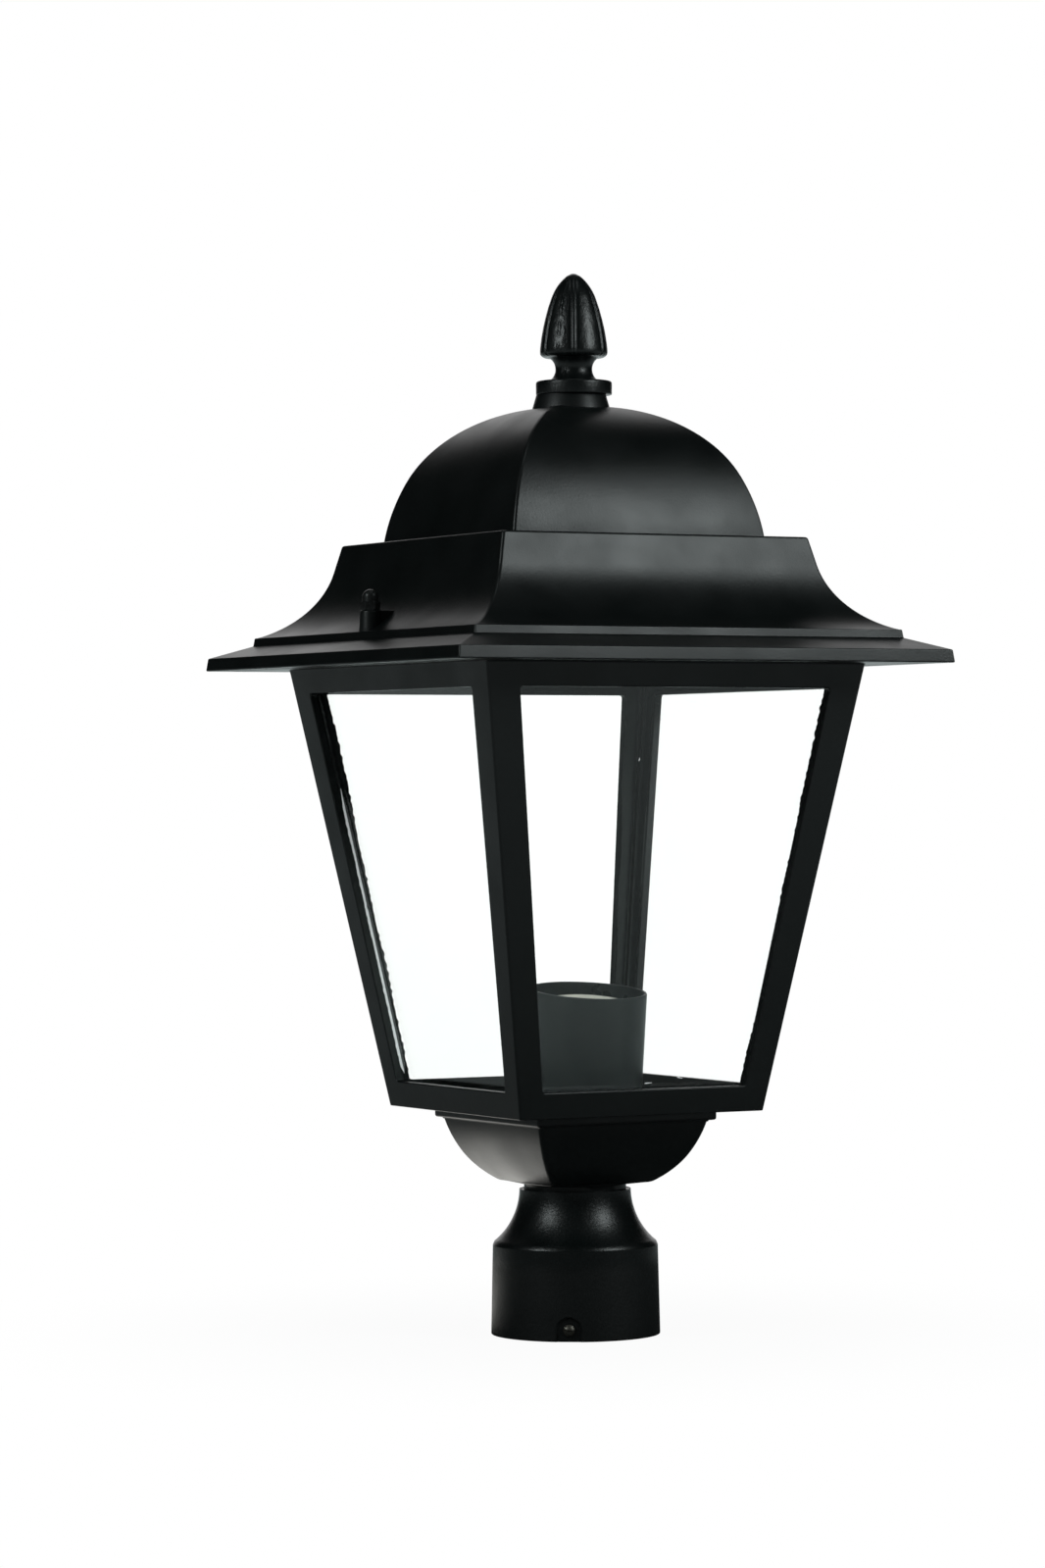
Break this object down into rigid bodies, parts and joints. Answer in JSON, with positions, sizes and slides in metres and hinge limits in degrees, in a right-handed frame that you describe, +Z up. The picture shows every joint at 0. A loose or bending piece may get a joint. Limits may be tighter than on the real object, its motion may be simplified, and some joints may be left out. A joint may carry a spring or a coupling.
{
  "type": "post top lantern",
  "caption": "Post top lantern: tapered four-sided cage with flat clear glass, square domed roof with acorn finial, screw-shell lampholder, and a round fitter that clamps on a post.",
  "frame": {"origin": "centre of the fitter's bottom rim, on the lantern's axis", "axes": "+Z up the lantern's axis; -Y out of the front window, -X out of the left window; the two roof ties lie on the X axis"},
  "size_m": [0.28, 0.28, 0.5392],
  "materials": {
    "black_casting": "cast aluminium with a satin black powder coat",
    "clear_glass": "clear flat glass",
    "zinc_steel": "zinc-plated steel",
    "bare_steel": "worn bare steel",
    "black_nut": "blackened steel",
    "black_steel": "drawn steel with a satin black coat",
    "porcelain": "white glaze",
    "brass": "drawn brass",
    "green_screw": "green coat",
    "sealant": "clear glazing silicone"
  },
  "bodies": {
    "lantern": {"fitter": "black_casting", "wireway_nipple": "zinc_steel", "lower_locknut": "zinc_steel", "upper_locknut": "zinc_steel", "bowl": "black_casting", "bowl_screws": "zinc_steel", "cage": "black_casting", "glass_front": "clear_glass", "glass_right": "clear_glass", "glass_back": "clear_glass", "glass_left": "clear_glass", "glazing_beads": "sealant", "earth_screw": "green_screw", "tie_stud_left": "zinc_steel", "tie_stud_right": "zinc_steel", "lampholder_strap": "zinc_steel", "strap_screws": "zinc_steel", "lampholder_stem": "zinc_steel", "stem_nut": "zinc_steel", "lampholder_cup": "black_steel", "lampholder_body": "porcelain", "screw_shell": "brass", "terminal_screws": "brass"},
    "roof": {"roof_skirt": "black_casting", "roof_dome": "black_casting", "roof_screws": "zinc_steel", "finial": "black_casting", "finial_stud": "zinc_steel", "finial_washer": "zinc_steel", "finial_nut": "zinc_steel"},
    "left_nut": {"cap_nut_left": "black_nut"},
    "right_nut": {"cap_nut_right": "black_nut"},
    "screw_1": {"set_screw_1": "bare_steel"},
    "screw_2": {"set_screw_2": "bare_steel"},
    "screw_3": {"set_screw_3": "bare_steel"},
    "contact": {"centre_contact": "brass"}
  },
  "joints": [
    {"name": "roof_lift", "type": "slide", "parent": "lantern", "child": "roof", "axis": [0, 0, 1], "range_m": [0, 0.1]},
    {"name": "left_nut_run", "type": "slide", "parent": "roof", "child": "left_nut", "axis": [0, 0, 1], "range_m": [0, 0.012]},
    {"name": "right_nut_run", "type": "slide", "parent": "roof", "child": "right_nut", "axis": [0, 0, 1], "range_m": [0, 0.012]},
    {"name": "screw_1_drive", "type": "slide", "parent": "lantern", "child": "screw_1", "axis": [-0.5592, -0.829, 0], "range_m": [-0.001, 0.005]},
    {"name": "screw_2_drive", "type": "slide", "parent": "lantern", "child": "screw_2", "axis": [0.9976, -0.0698, 0], "range_m": [-0.001, 0.005]},
    {"name": "screw_3_drive", "type": "slide", "parent": "lantern", "child": "screw_3", "axis": [-0.4384, 0.8988, 0], "range_m": [-0.001, 0.005]},
    {"name": "contact_press", "type": "slide", "parent": "lantern", "child": "contact", "axis": [0, 0.1149, -0.9934], "range_m": [0, 0.0015], "stiffness_N_per_m": 1000, "springref_m": -0.002}
  ]
}
